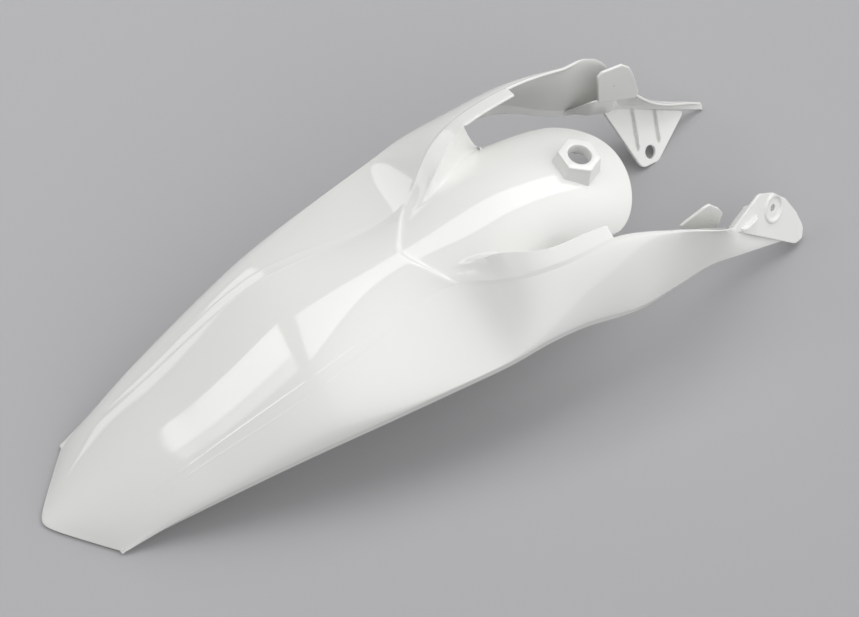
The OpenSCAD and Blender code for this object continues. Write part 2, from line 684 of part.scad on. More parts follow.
module rear_fender() {
    color("white")
        translate([-boss_x, 0, -boss_top_h]) {
            shell();
            boss();
            bracket();
            ear();
            side_tab(left_tab);
            mirror([0, 1, 0]) side_tab(right_tab);
        }
}

rear_fender();
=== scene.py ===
# Looks of a moulded motorcycle rear fender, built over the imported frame.
# Lengths are in millimetres from the tail tip and the floor while a surface is
# worked out, and in metres from the frame's origin once it is a mesh. In the
# names, X is forward, W is half width and H is height.

import math

import bpy
import numpy as np
from mathutils import Matrix, Vector


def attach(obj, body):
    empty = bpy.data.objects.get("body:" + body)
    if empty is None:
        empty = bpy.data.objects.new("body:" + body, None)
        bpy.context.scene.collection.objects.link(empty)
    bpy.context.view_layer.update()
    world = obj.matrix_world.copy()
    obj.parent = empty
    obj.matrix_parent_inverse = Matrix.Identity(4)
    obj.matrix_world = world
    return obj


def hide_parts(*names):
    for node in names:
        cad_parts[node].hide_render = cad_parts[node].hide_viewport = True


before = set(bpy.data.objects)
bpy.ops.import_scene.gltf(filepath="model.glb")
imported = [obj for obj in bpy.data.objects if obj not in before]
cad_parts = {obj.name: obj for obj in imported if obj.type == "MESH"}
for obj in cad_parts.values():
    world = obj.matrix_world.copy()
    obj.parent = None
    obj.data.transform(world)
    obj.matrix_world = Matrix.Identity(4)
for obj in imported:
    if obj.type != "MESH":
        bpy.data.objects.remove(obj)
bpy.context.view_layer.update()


# Smooth step from 0 to 1, level at both ends
def ease(t):
    t = np.clip(t, 0, 1)
    return t * t * (3 - 2 * t)


# Straight blend from a to b
def mix(a, b, t):
    return a + (b - a) * t


# Cubic from a to b with slopes m and n at its ends
def cubic(a, b, m, n, t):
    return (a * (2 * t**3 - 3 * t**2 + 1) + m * (t**3 - 2 * t**2 + t)
            + b * (3 * t**2 - 2 * t**3) + n * (t**3 - t**2))


# Smooth curve through one column of a table whose first column is the station:
# cubic pieces whose slope at a station is the mean of the slopes on both sides,
# weighted by the span on the other side
def along(table, column, x):
    xs, ys = np.array(table, float)[:, [0, column]].T
    h, d = np.diff(xs), np.diff(ys) / np.diff(xs)
    slope = np.concatenate([d[:1], (d[:-1] * h[1:] + d[1:] * h[:-1]) / (h[:-1] + h[1:]), d[-1:]])
    x = np.clip(x, xs[0], xs[-1])
    i = np.clip(np.searchsorted(xs, x, side="right") - 1, 0, len(h) - 1)
    t = (x - xs[i]) / h[i]
    return cubic(ys[i], ys[i + 1], slope[i] * h[i], slope[i + 1] * h[i], t)


# The boss's top face holds the frame's origin
boss = {
    "x": 508,
    "top": 167.5,
    "tilt": 13,
    "width": 37,
    "footWidth": 45,
    "footShift": 3.2,     # how far the tilt carries the foot to the rear
    "collar": 3,
    "depth": 19.5,
    "boreRadius": 10,
    "boreLength": 10,
    "opening": 18.5,      # corner radius of the hole in the tongue
    "cornerPower": 40,    # more is sharper
    "turns": 192,
}
origin = np.array([boss["x"], 0.0, boss["top"]])

# Stations along the fender, forward of the tail tip
quarterX, middleX, seatX, flareX, slotX, stripEnd = 120, 230, 338, 372.9, 447, 489
rearArmX, middleArmX, bladeX, armEnd = 545, 588, 617, 690

shell = {
    "wall": 2.6,
    "rimRadius": 0.9,
    # Station and height of the centre line, at last the boss and the nose
    "top": [(0, 2.6), (quarterX, 72), (middleX, 128.5), (seatX, 152), (slotX, 167),
            (boss["x"], 153.2), (548, 133.5)],
    # Station, half width and height of the lower edge
    "edge": [(0, 55, 0.8), (60, 60, 12.5), (quarterX, 69, 30.5), (middleX, 89.5, 67.5), (285, 101, 85),
             (seatX, 109, 96.5), (slotX, 112, 104), (500, 112.9, 89), (rearArmX, 100, 68),
             (middleArmX, 90, 55), (bladeX, 87, 41), (armEnd, 77, 0.4)],
    # Station, half width and height of the crease that becomes the ridge of the recess
    "ridge": [(0, 38, 2.6), (quarterX, 43.5, 66), (middleX, 50, 120.5), (seatX, 44, 142.5),
              (flareX, 60.3, 152.3), (slotX, 81.5, 168.7), (stripEnd, 84, 171.2), (rearArmX, 91.5, 148.5),
              (middleArmX, 97, 122), (bladeX, 79, 77), (armEnd, 79, 8)],
    # Station and width of the strip inside the ridge
    "strip": [(0, 3.8), (middleX, 5), (seatX, 13.2), (flareX, 22), (slotX, 14), (stripEnd, 11)],
    "stripSlope": 0.37,
    # Station, width and slope of the bevel outside the ridge, slope at which the
    # shoulder leaves it, and fullness of the shoulder: 2 is an ellipse, more is squarer
    "side": [(0, 3.6, 0, 0, 2.4), (quarterX, 6, 0.42, 0.45, 2.8), (middleX, 10, 0.46, 0.48, 2.6),
             (seatX, 4, 0.45, 0.45, 2.4), (flareX, 2.6, 0.65, 0.5, 2.1), (slotX, 2.6, 0.9, 0.7, 1.7),
             (rearArmX, 1.3, 1, 0.4, 1.6), (armEnd, 0.26, 1, 0, 1.5)],
    # Bead along both edges of the bevel, with the stations where it starts and ends
    "beadHeight": 0.25,
    "beadWidth": 0.6,
    "beadSpan": (60, 300),
    "beadFade": 60,
    # Lip along the lower edge, and its share of the height at the tail and on the arm
    "lipHeight": 13,
    "lipTurn": 2.4,
    "lipAtTail": 0.15,
    "lipOnArm": 0.4,
    "lipFade": 150,
    # Sweep of the cross lines into a V at the tail and at the rear edge of the recess
    "tailPoint": 44,
    "tailFade": 165,
    "seatSweep": 28,
    "sweepEnd": 20,
    "pointRound": 0.02,
    "tailRound": 0.5,
    "roundFade": 70,
    # Step at the rear edge of the recess, and the wall that grows ahead of it
    "seatStep": 2.2,
    "seatStepLength": 4,
    "wallStart": 15,
    "wallLength": 50,
    "wallRise": 1.8,
    "wallAtSeat": 0.1,    # width of its foot at the seat, as a share of the half width
    "wallAtSlot": 6.5,    # and at the slots, in millimetres
    "wallBulge": 4,
    "wallFade": 40,
    # Lean of the slots' rear edge at the pan, the strip and the ridge
    "slotLean": 14,
    "panLean": 0.35,
    "stripLean": -0.65,
    "ridgeLean": -0.3,
    "leanFade": 45,
    "tongueHalfWidth": 61,
    "tongueStraight": 54,
    "noseLength": 47,
    "tongueCrown": 27,
    # Columns across each region, with extra ones at these distances from an edge, where
    # the bevel and the skirt count as at least so wide
    "panColumns": 25,
    "wallColumns": 10,
    "skirtColumns": 33,
    "lipColumns": 6,
    "nearEdge": [1.7, 1.1, 0.7, 0.35, 0],
    "leastBevel": 3.9,
    "leastSkirt": 12,
    # Rows of the body, the step, the recess, the strip's free end, the arm and the tongue
    "bodyRows": 121,
    "stepRows": 4,
    "recessRows": 41,
    "stripRows": 16,
    "armRows": 81,
    "tongueRows": 45,
}
mirror = np.array([1, -1, 1])


def topH(s):
    return along(shell["top"], 1, s)


def edgeW(s):
    return along(shell["edge"], 1, s)


def edgeH(s):
    return along(shell["edge"], 2, s)


def ridgeW(s):
    return along(shell["ridge"], 1, s)


def ridgeH(s):
    return along(shell["ridge"], 2, s)


def stripWidth(s):
    return along(shell["strip"], 1, s)


def bevelWidth(s):
    return along(shell["side"], 1, s)


def bevelSlope(s):
    return along(shell["side"], 2, s)


def shoulderSlope(s):
    return along(shell["side"], 3, s)


def fullness(s):
    return along(shell["side"], 4, s)


# Height of the lip: low at the tail tip, full on the body, lower again on the arms
def lipH(s):
    return (shell["lipHeight"] * mix(shell["lipAtTail"], 1, ease(s / shell["lipFade"]))
            * mix(1, shell["lipOnArm"], ease((s - slotX) / shell["lipFade"])))


# Drop of the pan per square of the half width: through the ridge behind the
# recess, and from there eased to the tongue's
def crown(s):
    seat = (topH(seatX) - ridgeH(seatX)) / ridgeW(seatX)**2
    tongue = shell["tongueCrown"] / shell["tongueHalfWidth"]**2
    forward = ease((s - seatX) / (slotX - seatX))
    return np.where(s < seatX, (topH(s) - ridgeH(s)) / ridgeW(s)**2, mix(seat, tongue, forward))


# Height of the pan: a parabola under the centre line, lowered by the step, which
# fades toward the slots
def panH(s, w):
    into = (s - seatX) / (slotX - seatX)
    step = shell["seatStep"] * ease((s - seatX) / shell["seatStepLength"])
    return topH(s) - np.where(s < seatX, 0, step * (1 - ease(into))) - crown(s) * w**2


# How far the wall of the recess has grown, from 0 to 1
def wallGrowth(s):
    return ease((s - seatX - shell["wallStart"]) / shell["wallLength"])


# Half width of the pan: the ridge's, less the strip and the foot of the wall
def panW(s):
    into = ease((s - seatX) / (slotX - seatX))
    return (ridgeW(s) - stripWidth(s) - mix(shell["wallAtSeat"] * ridgeW(s), shell["wallAtSlot"], into)
            - shell["wallBulge"] * wallGrowth(s) * ease((slotX - s) / shell["wallFade"]))


# Cross section at the stations s. The pan or tongue is a parabola, the wall of the
# recess a cubic, the strip and the bevel are straight, and the skirt is a quarter of
# a superellipse that is sheared by the shoulder's slope and ends in a straight lip.
# A bell curve adds the fine bead along both edges of the bevel. Returns half widths
# and heights, one row a station, and the column where each region starts
def crossSection(s):
    s = s[:, None]
    before = np.array(shell["nearEdge"])[None]    # distances left before an edge
    after = before[:, 3::-1]                      # and distances past it
    panWidth = panW(s) * np.linspace(0, 1, shell["panColumns"])[None]
    climb = np.linspace(0, 1, shell["wallColumns"])[None, 1:]
    stripIn = ridgeW(s) - stripWidth(s)
    foot = panH(s, panW(s))
    stripH = mix(panH(s, stripIn), ridgeH(s) + shell["stripSlope"] * stripWidth(s), wallGrowth(s))
    reachIn = stripIn - panW(s)
    rise = mix(-2 * crown(s) * stripIn * reachIn, shell["wallRise"] * (stripH - foot), wallGrowth(s))
    overStrip = np.hstack([(1 - before[:, :1] / stripWidth(s)) * np.array([1 / 3, 2 / 3])[None],
                           1 - before / stripWidth(s)])
    bevel = np.maximum(bevelWidth(s), shell["leastBevel"])
    overBevel = np.hstack([after / bevel, 1 - before / bevel])
    startW = ridgeW(s) + bevelWidth(s)
    startH = ridgeH(s) - bevelWidth(s) * bevelSlope(s)
    reach = edgeW(s) + shell["lipTurn"] - startW
    power = 2 / fullness(s)
    first = np.arcsin((after / np.maximum(reach, shell["leastSkirt"]))**(1 / power))
    rest = np.linspace(0, 1, shell["skirtColumns"])[None, 1:]
    angle = np.hstack([first, mix(first[:, 3:], np.pi / 2, rest)])
    run = reach * np.sin(angle)**power
    fall = shoulderSlope(s)
    down = np.linspace(0, 1, shell["lipColumns"])[None, 1:]
    widths = [panWidth, mix(panW(s), stripIn, climb), mix(stripIn, ridgeW(s), overStrip),
              mix(ridgeW(s), startW, overBevel), startW + run,
              mix(edgeW(s) + shell["lipTurn"], edgeW(s), down)]
    heights = [panH(s, panWidth), cubic(foot, stripH, -2 * crown(s) * panW(s) * reachIn, rise, climb),
               mix(stripH, ridgeH(s), overStrip), mix(ridgeH(s), startH, overBevel),
               mix(edgeH(s) + lipH(s) + fall * reach, startH, np.cos(angle)**power) - fall * run,
               mix(edgeH(s) + lipH(s), edgeH(s), down)]
    starts = np.cumsum([0] + [part.shape[1] for part in widths])
    widths, heights = np.hstack(widths), np.hstack(heights)
    beadStart, beadEnd = shell["beadSpan"]
    bead = (shell["beadHeight"] * ease((s - beadStart) / shell["beadFade"])
            * ease((beadEnd - s) / shell["beadFade"]))
    for line in (ridgeW(s), startW):
        heights = heights + bead * np.exp(-((widths - line) / shell["beadWidth"])**2)
    return widths, heights, starts


# V shape of the cross lines, a hyperbola with a rounded point of size r
def pointShape(u, r):
    u = np.clip(u, 0, 1)
    return (np.sqrt(u**2 + r) - np.sqrt(r)) / (np.sqrt(1 + r) - np.sqrt(r))


# Forward position of each point: the station, moved forward in a V at the tail and
# again at the rear edge of the recess, and leaning along the rear edge of the slots
def crossX(s, w, starts):
    s = s[:, None]
    tail = shell["tailPoint"] * np.clip(1 - s / shell["tailFade"], 0, 1)**2
    seat = (shell["seatSweep"] * ease((s - middleX) / (seatX - middleX))
            * (1 - ease((s - seatX) / (slotX - shell["sweepEnd"] - seatX))))
    column = np.arange(w.shape[1])
    pan, strip, ridge, bevel = starts[1:5] - 1
    panLean, stripLean, ridgeLean = shell["panLean"], shell["stripLean"], shell["ridgeLean"]
    lean = np.select([column <= pan, column <= strip, column <= ridge, column <= bevel],
                     [panLean * (column / pan)**3, mix(panLean, stripLean, (column - pan) / (strip - pan)),
                      mix(stripLean, ridgeLean, (column - strip) / (ridge - strip)),
                      ridgeLean * (1 - (column - ridge) / (bevel - ridge))], 0)
    tailRound = mix(shell["pointRound"], shell["tailRound"], ease(s / shell["roundFade"]))
    return (s + tail * pointShape(w / edgeW(s), tailRound)
            + seat * pointShape(w / ridgeW(s), shell["pointRound"])
            + shell["slotLean"] * ease(1 - np.abs(s - slotX) / shell["leanFade"]) * lean[None])


# Joins grids of points into one list of points and quads. Each grid is given
# with a mask of the quads that are kept
def weld(grids):
    points, quads, first = [], [], 0
    for grid, keep in grids:
        rows, columns = grid.shape[:2]
        number = first + np.arange(rows * columns).reshape(rows, columns)
        square = np.stack([number[:-1, :-1], number[1:, :-1], number[1:, 1:], number[:-1, 1:]], -1)
        points.append(grid.reshape(-1, 3))
        quads.append(square[keep])
        first += rows * columns
    points, quads = np.concatenate(points), np.concatenate(quads)
    _, index, inverse = np.unique(np.round(points, 3), axis=0, return_index=True, return_inverse=True)
    quads = index[inverse.ravel()][quads]
    used, compact = np.unique(quads, return_inverse=True)
    return points[used], compact.reshape(quads.shape)


# Gives a sheet of quads its wall: the inner face lies one wall below along the
# normals, and the free edges are closed by a rim of two quarter circles
def thicken(points, quads, wall, radius):
    corner = points[quads]
    across = np.cross(corner[:, 2] - corner[:, 0], corner[:, 3] - corner[:, 1])
    normal = np.zeros_like(points)
    np.add.at(normal, quads.ravel(), np.repeat(across, 4, axis=0))
    normal /= np.linalg.norm(normal, axis=1, keepdims=True)
    count = len(points)
    start, end = quads.ravel(), np.roll(quads, -1, axis=1).ravel()
    free = ~np.isin(start * count + end, end * count + start)
    start, end = start[free], end[free]
    direction = points[end] - points[start]
    direction /= np.linalg.norm(direction, axis=1, keepdims=True)
    tangent = np.zeros_like(points)
    np.add.at(tangent, start, direction)
    np.add.at(tangent, end, direction)
    rim = np.unique(start)
    outward = np.cross(tangent[rim], normal[rim])
    outward /= np.linalg.norm(outward, axis=1, keepdims=True)
    pulled = points.copy()
    pulled[rim] -= radius * outward
    angles = np.radians([30, 60, 90])
    upper = [pulled[rim] + radius * (np.cos(a) - 1) * normal[rim] + radius * np.sin(a) * outward
             for a in angles]
    lower = [pulled[rim] - (wall + radius * (np.cos(a) - 1)) * normal[rim] + radius * np.sin(a) * outward
             for a in angles[::-1]]
    rings = upper + lower
    place = np.zeros(count, int)
    place[rim] = np.arange(len(rim))

    # Numbers of the points i on the outer face, on each ring and on the inner face
    def levels(i):
        return [i] + [2 * count + k * len(rim) + place[i] for k in range(len(rings))] + [i + count]

    a, b = levels(start), levels(end)
    bands = [np.stack([a[k], b[k], b[k + 1], a[k + 1]], -1)[:, ::-1] for k in range(len(a) - 1)]
    allPoints = np.concatenate([pulled, pulled - wall * normal] + rings)
    allQuads = np.concatenate([quads, quads[:, ::-1] + count] + bands)
    return allPoints, allQuads


# Mesh in the frame from points in millimetres. Edges past 50 degrees stay sharp
def makePiece(name, points, faces, flip=False):
    mesh = bpy.data.meshes.new(name)
    mesh.from_pydata(((points - origin) / 1000).tolist(), [], faces)
    if flip:
        mesh.flip_normals()
    mesh.validate()
    mesh.shade_smooth()
    mesh.set_sharp_from_angle(angle=math.radians(50))
    piece = bpy.data.objects.new(name, mesh)
    bpy.context.scene.collection.objects.link(piece)
    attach(piece, "root")
    return piece


# Quads of a grid whose columns run round, and whose rows do too if it is closed
def ringFaces(rows, columns, closed=True):
    number = np.arange(rows * columns).reshape(rows, columns)
    right, down = np.roll(number, -1, axis=1), np.roll(number, -1, axis=0)
    quads = np.stack([number, right, np.roll(right, -1, axis=0), down], -1)
    return (quads if closed else quads[:-1]).reshape(-1, 4).tolist()


# Body from the tail to the slots: the half section and its mirror image
def bodyGrid():
    stepLength = shell["seatStepLength"]
    s = np.concatenate([np.linspace(0, seatX, shell["bodyRows"]),
                        seatX + np.linspace(0, stepLength, shell["stepRows"])[1:],
                        np.linspace(seatX + stepLength, slotX, shell["recessRows"])[1:]])
    width, height, starts = crossSection(s)
    half = np.stack([crossX(s, width, starts), width, height], -1)
    return np.concatenate([(half * mirror)[:, :0:-1], half], axis=1)


# Left arm, which is the section without its pan, and a mask of the quads that are
# kept: the strip stops at its end, and the rest runs on
def armGrid():
    s = np.concatenate([np.linspace(slotX, stripEnd, shell["stripRows"]),
                        np.linspace(stripEnd, armEnd, shell["armRows"])[1:]])
    width, height, starts = crossSection(s)
    arm = np.stack([crossX(s, width, starts), width, height], -1)[:, starts[2] - 1:]
    keep = np.ones((arm.shape[0] - 1, arm.shape[1] - 1), bool)
    keep[shell["stripRows"] - 1:, :starts[3] - starts[2]] = False
    return arm, keep


# Tongue: rays forward from the body's last row to half an ellipse, at the height
# of a parabola under the centre line. The mask leaves out the boss's hexagon
def tongueGrid(lastRow):
    side = shell["panColumns"] - 1
    q = np.linspace(-1, 1, 2 * side + 1)[None]
    t = np.linspace(0, 1, shell["tongueRows"])[:, None]
    reach = shell["tongueStraight"] + shell["noseLength"] * np.sqrt(np.clip(1 - q**2, 0, 1))
    x = slotX + t * reach
    w = q * shell["tongueHalfWidth"] * np.ones_like(t)
    drop = shell["tongueCrown"] / shell["tongueHalfWidth"]**2
    tongue = np.stack([x, w, topH(x) - drop * w**2], -1)
    middle = len(lastRow) // 2
    tongue[0] = lastRow[middle - side:middle + side + 1]
    centre = (tongue[:-1, :-1] + tongue[1:, 1:]) / 2
    away = centre[..., :2] - np.array([boss["x"] - boss["footShift"], 0])
    flats = np.radians(60 * np.arange(6))
    flatRadius = boss["opening"] * math.cos(math.pi / 6)
    keep = np.max(away @ np.stack([np.cos(flats), np.sin(flats)]), -1) > flatRadius
    return tongue, keep


def buildShell():
    body = bodyGrid()
    everyQuad = np.ones((body.shape[0] - 1, body.shape[1] - 1), bool)
    arm, keepArm = armGrid()
    points, quads = weld([(body, everyQuad), tongueGrid(body[-1]), (arm, keepArm),
                          ((arm * mirror)[:, ::-1], keepArm[:, ::-1])])
    points, quads = thicken(points, quads, shell["wall"], shell["rimRadius"])
    piece = makePiece("fenderShell", points, quads.tolist())
    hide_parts("rear_fender")
    return piece


# Hexagonal boss: a closed profile of radius and height turned round the tilted axis.
# Where the profile's third value is 1, the radius is stretched from a circle to a
# hexagon, whose corners are rounded by a high power mean of the six flats
def buildBoss():
    foot, top, collar = boss["footWidth"] / 2, boss["width"] / 2, boss["collar"]
    bore, length, deep, wall = boss["boreRadius"], boss["boreLength"], boss["depth"], shell["wall"]
    profile = np.array([
        (foot - wall, -deep, 1), (foot, -deep, 1), (foot - 0.5, 2 - deep, 1),    # foot under the tongue
        (top + 0.6, -collar - 1.5, 1), (top, -collar, 1),                        # collar
        (top, -0.9, 1), (top - 0.25, -0.25, 1), (top - 0.9, 0, 1),               # rounded top edge
        (bore + 1.6, 0, 0), (bore + 1.2, 0.0, 0),                                # top face
        (bore + 0.35, -0.1, 0), (bore, -0.6, 0), (bore, -5, 0), (bore, -length, 0),
        (bore + 2.5, -length, 0), (bore + 2.5, -wall - 1, 0),                    # tube round the bore
        (top - wall, -wall - 1, 1), (top - wall, -collar, 1)])                   # hollow under the top
    angle = np.linspace(0, 2 * np.pi, boss["turns"], endpoint=False)[:, None]
    flats = np.cos(angle - np.radians(60 * np.arange(6))[None])
    power = boss["cornerPower"]
    hexagon = np.sum(np.clip(flats, 0, None)**power, axis=1, keepdims=True)**(-1 / power)
    radius = profile[None, :, 0] * mix(1, hexagon * math.cos(math.pi / 6), profile[None, :, 2])
    local = np.stack([radius * np.cos(angle), radius * np.sin(angle),
                      np.broadcast_to(profile[None, :, 1], radius.shape)], -1)
    turn = math.radians(boss["tilt"])
    spin = np.array([[math.cos(turn), 0, math.sin(turn)], [0, 1, 0], [-math.sin(turn), 0, math.cos(turn)]])
    points = local @ spin.T + origin
    return makePiece("fenderBoss", points.reshape(-1, 3), ringFaces(*radius.shape))


# Points of an outline round circles, each given by its centre and radius: in
# every direction the circle that reaches furthest gives the point
def convexOutline(circles):
    turn = np.linspace(0, 2 * np.pi, 721)[:-1]
    way = np.stack([np.cos(turn), np.sin(turn)], -1)
    best = np.argmax([way @ np.array(c[:2]) + c[2] for c in circles], axis=0)
    middle = np.array([c[:2] for c in circles])[best]
    size = np.array([c[2] for c in circles])[best]
    return middle + way * size[:, None]


# Distance from the centre to the outline at each angle, read between points
# that lie close together along it
def rayReach(outline, angle):
    fine = np.linspace(0, 1, 12, endpoint=False)
    following = np.roll(outline, -1, axis=0)
    dense = (outline[:, None] + (following - outline)[:, None] * fine[None, :, None]).reshape(-1, 2)
    bearing, distance = np.arctan2(dense[:, 1], dense[:, 0]), np.hypot(dense[:, 0], dense[:, 1])
    order = np.argsort(bearing)
    return np.interp((angle + np.pi) % (2 * np.pi) - np.pi, bearing[order], distance[order], period=2 * np.pi)


# Plate with a rounded edge: for each direction round its centre the section runs
# from the bore over one face, round the edge and back along the other face. The
# relief raises the first face by its first value and lowers the other by its second
def plateGrid(circles, centre, bore, thickness, relief, steps=44, turns=288):
    angle = np.linspace(0, 2 * np.pi, turns, endpoint=False)
    reach = rayReach(convexOutline(circles) - centre, angle)[:, None]
    edge = min(1.0, thickness * 0.4)
    arcs = np.radians([22.5, 45, 67.5, 90])
    inner = bore or 0.05
    lead = 0.3    # width of the small chamfer at the bore
    flat = mix(inner + lead, reach - edge, np.linspace(0, 1, steps)[None])
    rim = reach - edge + edge * np.sin(arcs)[None]
    radius = np.hstack([flat, rim, rim[:, ::-1], flat[:, ::-1], np.full((turns, 2), inner)])
    x = centre[0] + radius * np.cos(angle)[:, None]
    y = centre[1] + radius * np.sin(angle)[:, None]
    drop = edge * (1 - np.cos(arcs))
    level = np.concatenate([np.full(steps, thickness), thickness - drop, drop[::-1], np.zeros(steps),
                            [lead, thickness - lead]])
    z = np.broadcast_to(level[None], x.shape).copy()
    high, low = relief(x, y)
    back = slice(steps + 2 * len(arcs), 2 * steps + 2 * len(arcs))
    z[:, :steps] += high[:, :steps]
    z[:, back] -= low[:, back]
    z[:, -1] += high[:, 0]
    return np.stack([x, y, z], -1)


# Height of a rib from a to b over the plane points x, y: full along its line, and
# eased down past half its width, at its start and over its last 6 mm
def ribRelief(x, y, a, b, width, high):
    a, b = np.array(a, float), np.array(b, float)
    length = np.hypot(*(b - a))
    way = (b - a) / length
    s = (x - a[0]) * way[0] + (y - a[1]) * way[1]
    d = np.abs(-(x - a[0]) * way[1] + (y - a[1]) * way[0])
    return high * ease((width / 2 + 0.5 - d) / 1.0) * ease(s / 1.5 + 0.5) * ease((length - s) / 6)


# Lugs: two feet on the arm and the bore set the plane. The circles at the ends and
# the ribs, each from, to, width and height, lie in that plane, round the bore
bracket = {"rear": (592, 88, 58), "front": (668, 77, 10), "hole": (623, 55.9, 9.2),
           "thickness": 3.2, "bore": 6, "ends": [(-6.5, 5, 8.5), (4, 0, 9.5)],
           "ribs": [((-26, -44), (-14, 0), 2.2, 3), ((2, -40), (10, -8), 2.2, 3)]}
ear = {"rear": (616, -77.7, 74.4), "front": (689, -80, 6), "hole": (664, -66, 53),
       "thickness": 3, "bore": 3.3,
       "ends": [(-19, 0.5, 10.5), (-4, 0, 13), (12, -3, 13), (30, -11, 12), (42, -18, 10)],
       "padRadius": 13, "padHeight": 1.5, "dishRadius": 10, "dishDepth": 2.0,
       "rib": ((-39.5, -22), (-21, -8), 3, 4), "backRib": ((-48, -23), (-27, 1), 2.5, 6)}


def bracketRelief(x, y):
    return np.zeros_like(x), sum(ribRelief(x, y, *rib) for rib in bracket["ribs"])


def earRelief(x, y):
    r = np.hypot(x, y)
    pad = ear["padHeight"] * ease((ear["padRadius"] + 0.6 - r) / 1.2)
    dish = -ear["dishDepth"] * ease((ear["dishRadius"] + 1 - r) / 2.5)
    return pad + dish + ribRelief(x, y, *ear["rib"]), ribRelief(x, y, *ear["backRib"])


# Bore's centre and the axes of the plane through it and the two feet
def lugAxes(rear, front, hole):
    rear, front, hole = (np.array(p, float) for p in (rear, front, hole))
    z = np.cross(front - rear, hole - rear)
    z /= np.linalg.norm(z)
    y = np.cross(z, front - rear)
    y /= np.linalg.norm(y)
    return hole, np.stack([np.cross(y, z), y, z])


def buildLug(name, size, relief):
    hole, axes = lugAxes(size["rear"], size["front"], size["hole"])
    footRadius = 2
    feet = [(*((np.array(size[f], float) - hole) @ axes[:2].T), footRadius) for f in ("rear", "front")]
    grid = plateGrid(size["ends"] + feet, np.zeros(2), size["bore"], size["thickness"], relief)
    points = grid.reshape(-1, 3) @ axes + hole
    return makePiece(name, points, ringFaces(*grid.shape[:2]), flip=True)


# Upright tabs inside the arms. Their corners are ahead of x and above the top
tab = {
    "thickness": 2.6,
    "halfWidth": 79,
    "x": 575,
    "top": 137,
    "foot": 96,
    "corner": 2,
    "centre": (591, 108),
    "left": [(3, -45.5), (0, -3), (3, 0), (23, -2.5), (31.5, -12), (37, -27.5), (43, -59), (42, -64)],
    "right": [(0, -44), (-9, -29), (-16, -13), (6, -1.5), (10, -1), (20.5, -13.5), (27, -26),
              (24, -36), (20, -53.5)],
}


def noRelief(x, y):
    return np.zeros_like(x), np.zeros_like(x)


# Plate upright along the arm, on the side that way points to, its corners rounded
# by circles that lie just inside them
def buildTab(name, way, corners):
    radius, centre = tab["corner"], np.array(tab["centre"], float)
    corners = np.array(corners) + (tab["x"], tab["top"])
    inward = centre - corners
    inward /= np.linalg.norm(inward, axis=1, keepdims=True)
    circles = [(x, z, radius) for x, z in corners + radius * 1.2 * inward]
    grid = plateGrid(circles, centre, 0, tab["thickness"], noRelief, steps=12, turns=144)
    x, z, depth = grid.reshape(-1, 3).T
    points = np.stack([x, way * (tab["halfWidth"] - depth), z], -1)
    return makePiece(name, points, ringFaces(*grid.shape[:2]), flip=way > 0)


# Bands inside the arms that carry the tabs
band = {"start": 552, "end": 609, "thickness": 1.6, "fadeEnd": 612, "fade": 20, "bladeTop": 76,
        "rows": 49, "columns": 25}


# Half width of the outside of an arm at height z, from the superellipse of the skirt
def sideW(s, z):
    low = edgeH(s) + lipH(s)
    level = np.clip((z - low) / (ridgeH(s) - low), 0, 1)
    angle = np.arccos(level**(fullness(s) / 2))
    lip = edgeW(s) + shell["lipTurn"] * np.clip((z - edgeH(s)) / lipH(s), 0, 1)
    return mix(ridgeW(s), lip, np.sin(angle)**(2 / fullness(s)))


# Band that rises from the lower edge of the arm, swells in to the foot of the tab and
# runs back into the wall at the start of the blade. Its section goes from a line on
# the wall to a quarter ellipse as it swells, and it is closed by a face at each end
def buildBand(name, way):
    s = np.linspace(band["start"], band["end"], band["rows"])[:, None]
    up = np.linspace(0, 1, band["columns"])[None]
    angle = np.pi / 2 * up
    swell = (ease((s - band["start"]) / (tab["x"] - band["start"]))
             * ease((band["fadeEnd"] - s) / band["fade"]))
    low = edgeH(s) + 0.5 * shell["wall"]
    high = mix(tab["foot"], band["bladeTop"], (s - tab["x"]) / (bladeX - tab["x"]))
    z = mix(low, mix(low + 1, high, swell), mix(up, 1 - np.cos(angle), swell))
    w = mix(edgeW(s) - 0.3 * shell["wall"], tab["halfWidth"] - 0.8 * tab["thickness"], np.sin(angle))
    w = mix(sideW(s, z) - 0.9 * shell["wall"], w, swell)
    turn = mix(np.pi / 2, angle, swell)
    inner = np.stack([s * np.ones_like(z), w, z], -1)
    outer = inner + band["thickness"] * np.stack([np.zeros_like(z), np.sin(turn), np.cos(turn)], -1)
    grid = np.concatenate([inner, outer[:, ::-1]], axis=1)
    rows, columns = grid.shape[:2]
    number = np.arange(rows * columns).reshape(rows, columns)
    ends = [number[0].tolist(), number[-1, ::-1].tolist()]
    points = grid.reshape(-1, 3) * np.array([1, way, 1])
    return makePiece(name, points, ringFaces(rows, columns, closed=False) + ends, flip=way > 0)


# Gloss plastic: its colour, roughness and surface vary a little over the piece
plastic = {
    "colour": (0.80, 0.80, 0.78),
    "spread": (0.985, 1.01),    # darkest and lightest share of the colour
    "cloudScale": 9,
    "roughness": 0.07,
    "grain": 0.02,
    "smearScale": 26,
    "depth": 0.004,
    "peelScale": 60,
    "ior": 1.58,
}


def addNoise(nodes, links, scale, detail=2):
    coordinates = nodes.new("ShaderNodeTexCoord")
    noise = nodes.new("ShaderNodeTexNoise")
    noise.inputs["Scale"].default_value = scale
    noise.inputs["Detail"].default_value = detail
    links.new(coordinates.outputs["Object"], noise.inputs["Vector"])
    return noise.outputs["Fac"]


# Base colour that a noise moves between two shares of the colour
def addTint(nodes, links, noise, colour, spread):
    tint = nodes.new("ShaderNodeMix")
    tint.data_type = "RGBA"
    tint.inputs["A"].default_value = (*[c * spread[0] for c in colour], 1)
    tint.inputs["B"].default_value = (*[c * spread[1] for c in colour], 1)
    links.new(noise, tint.inputs["Factor"])
    links.new(tint.outputs["Result"], nodes["Principled BSDF"].inputs["Base Color"])


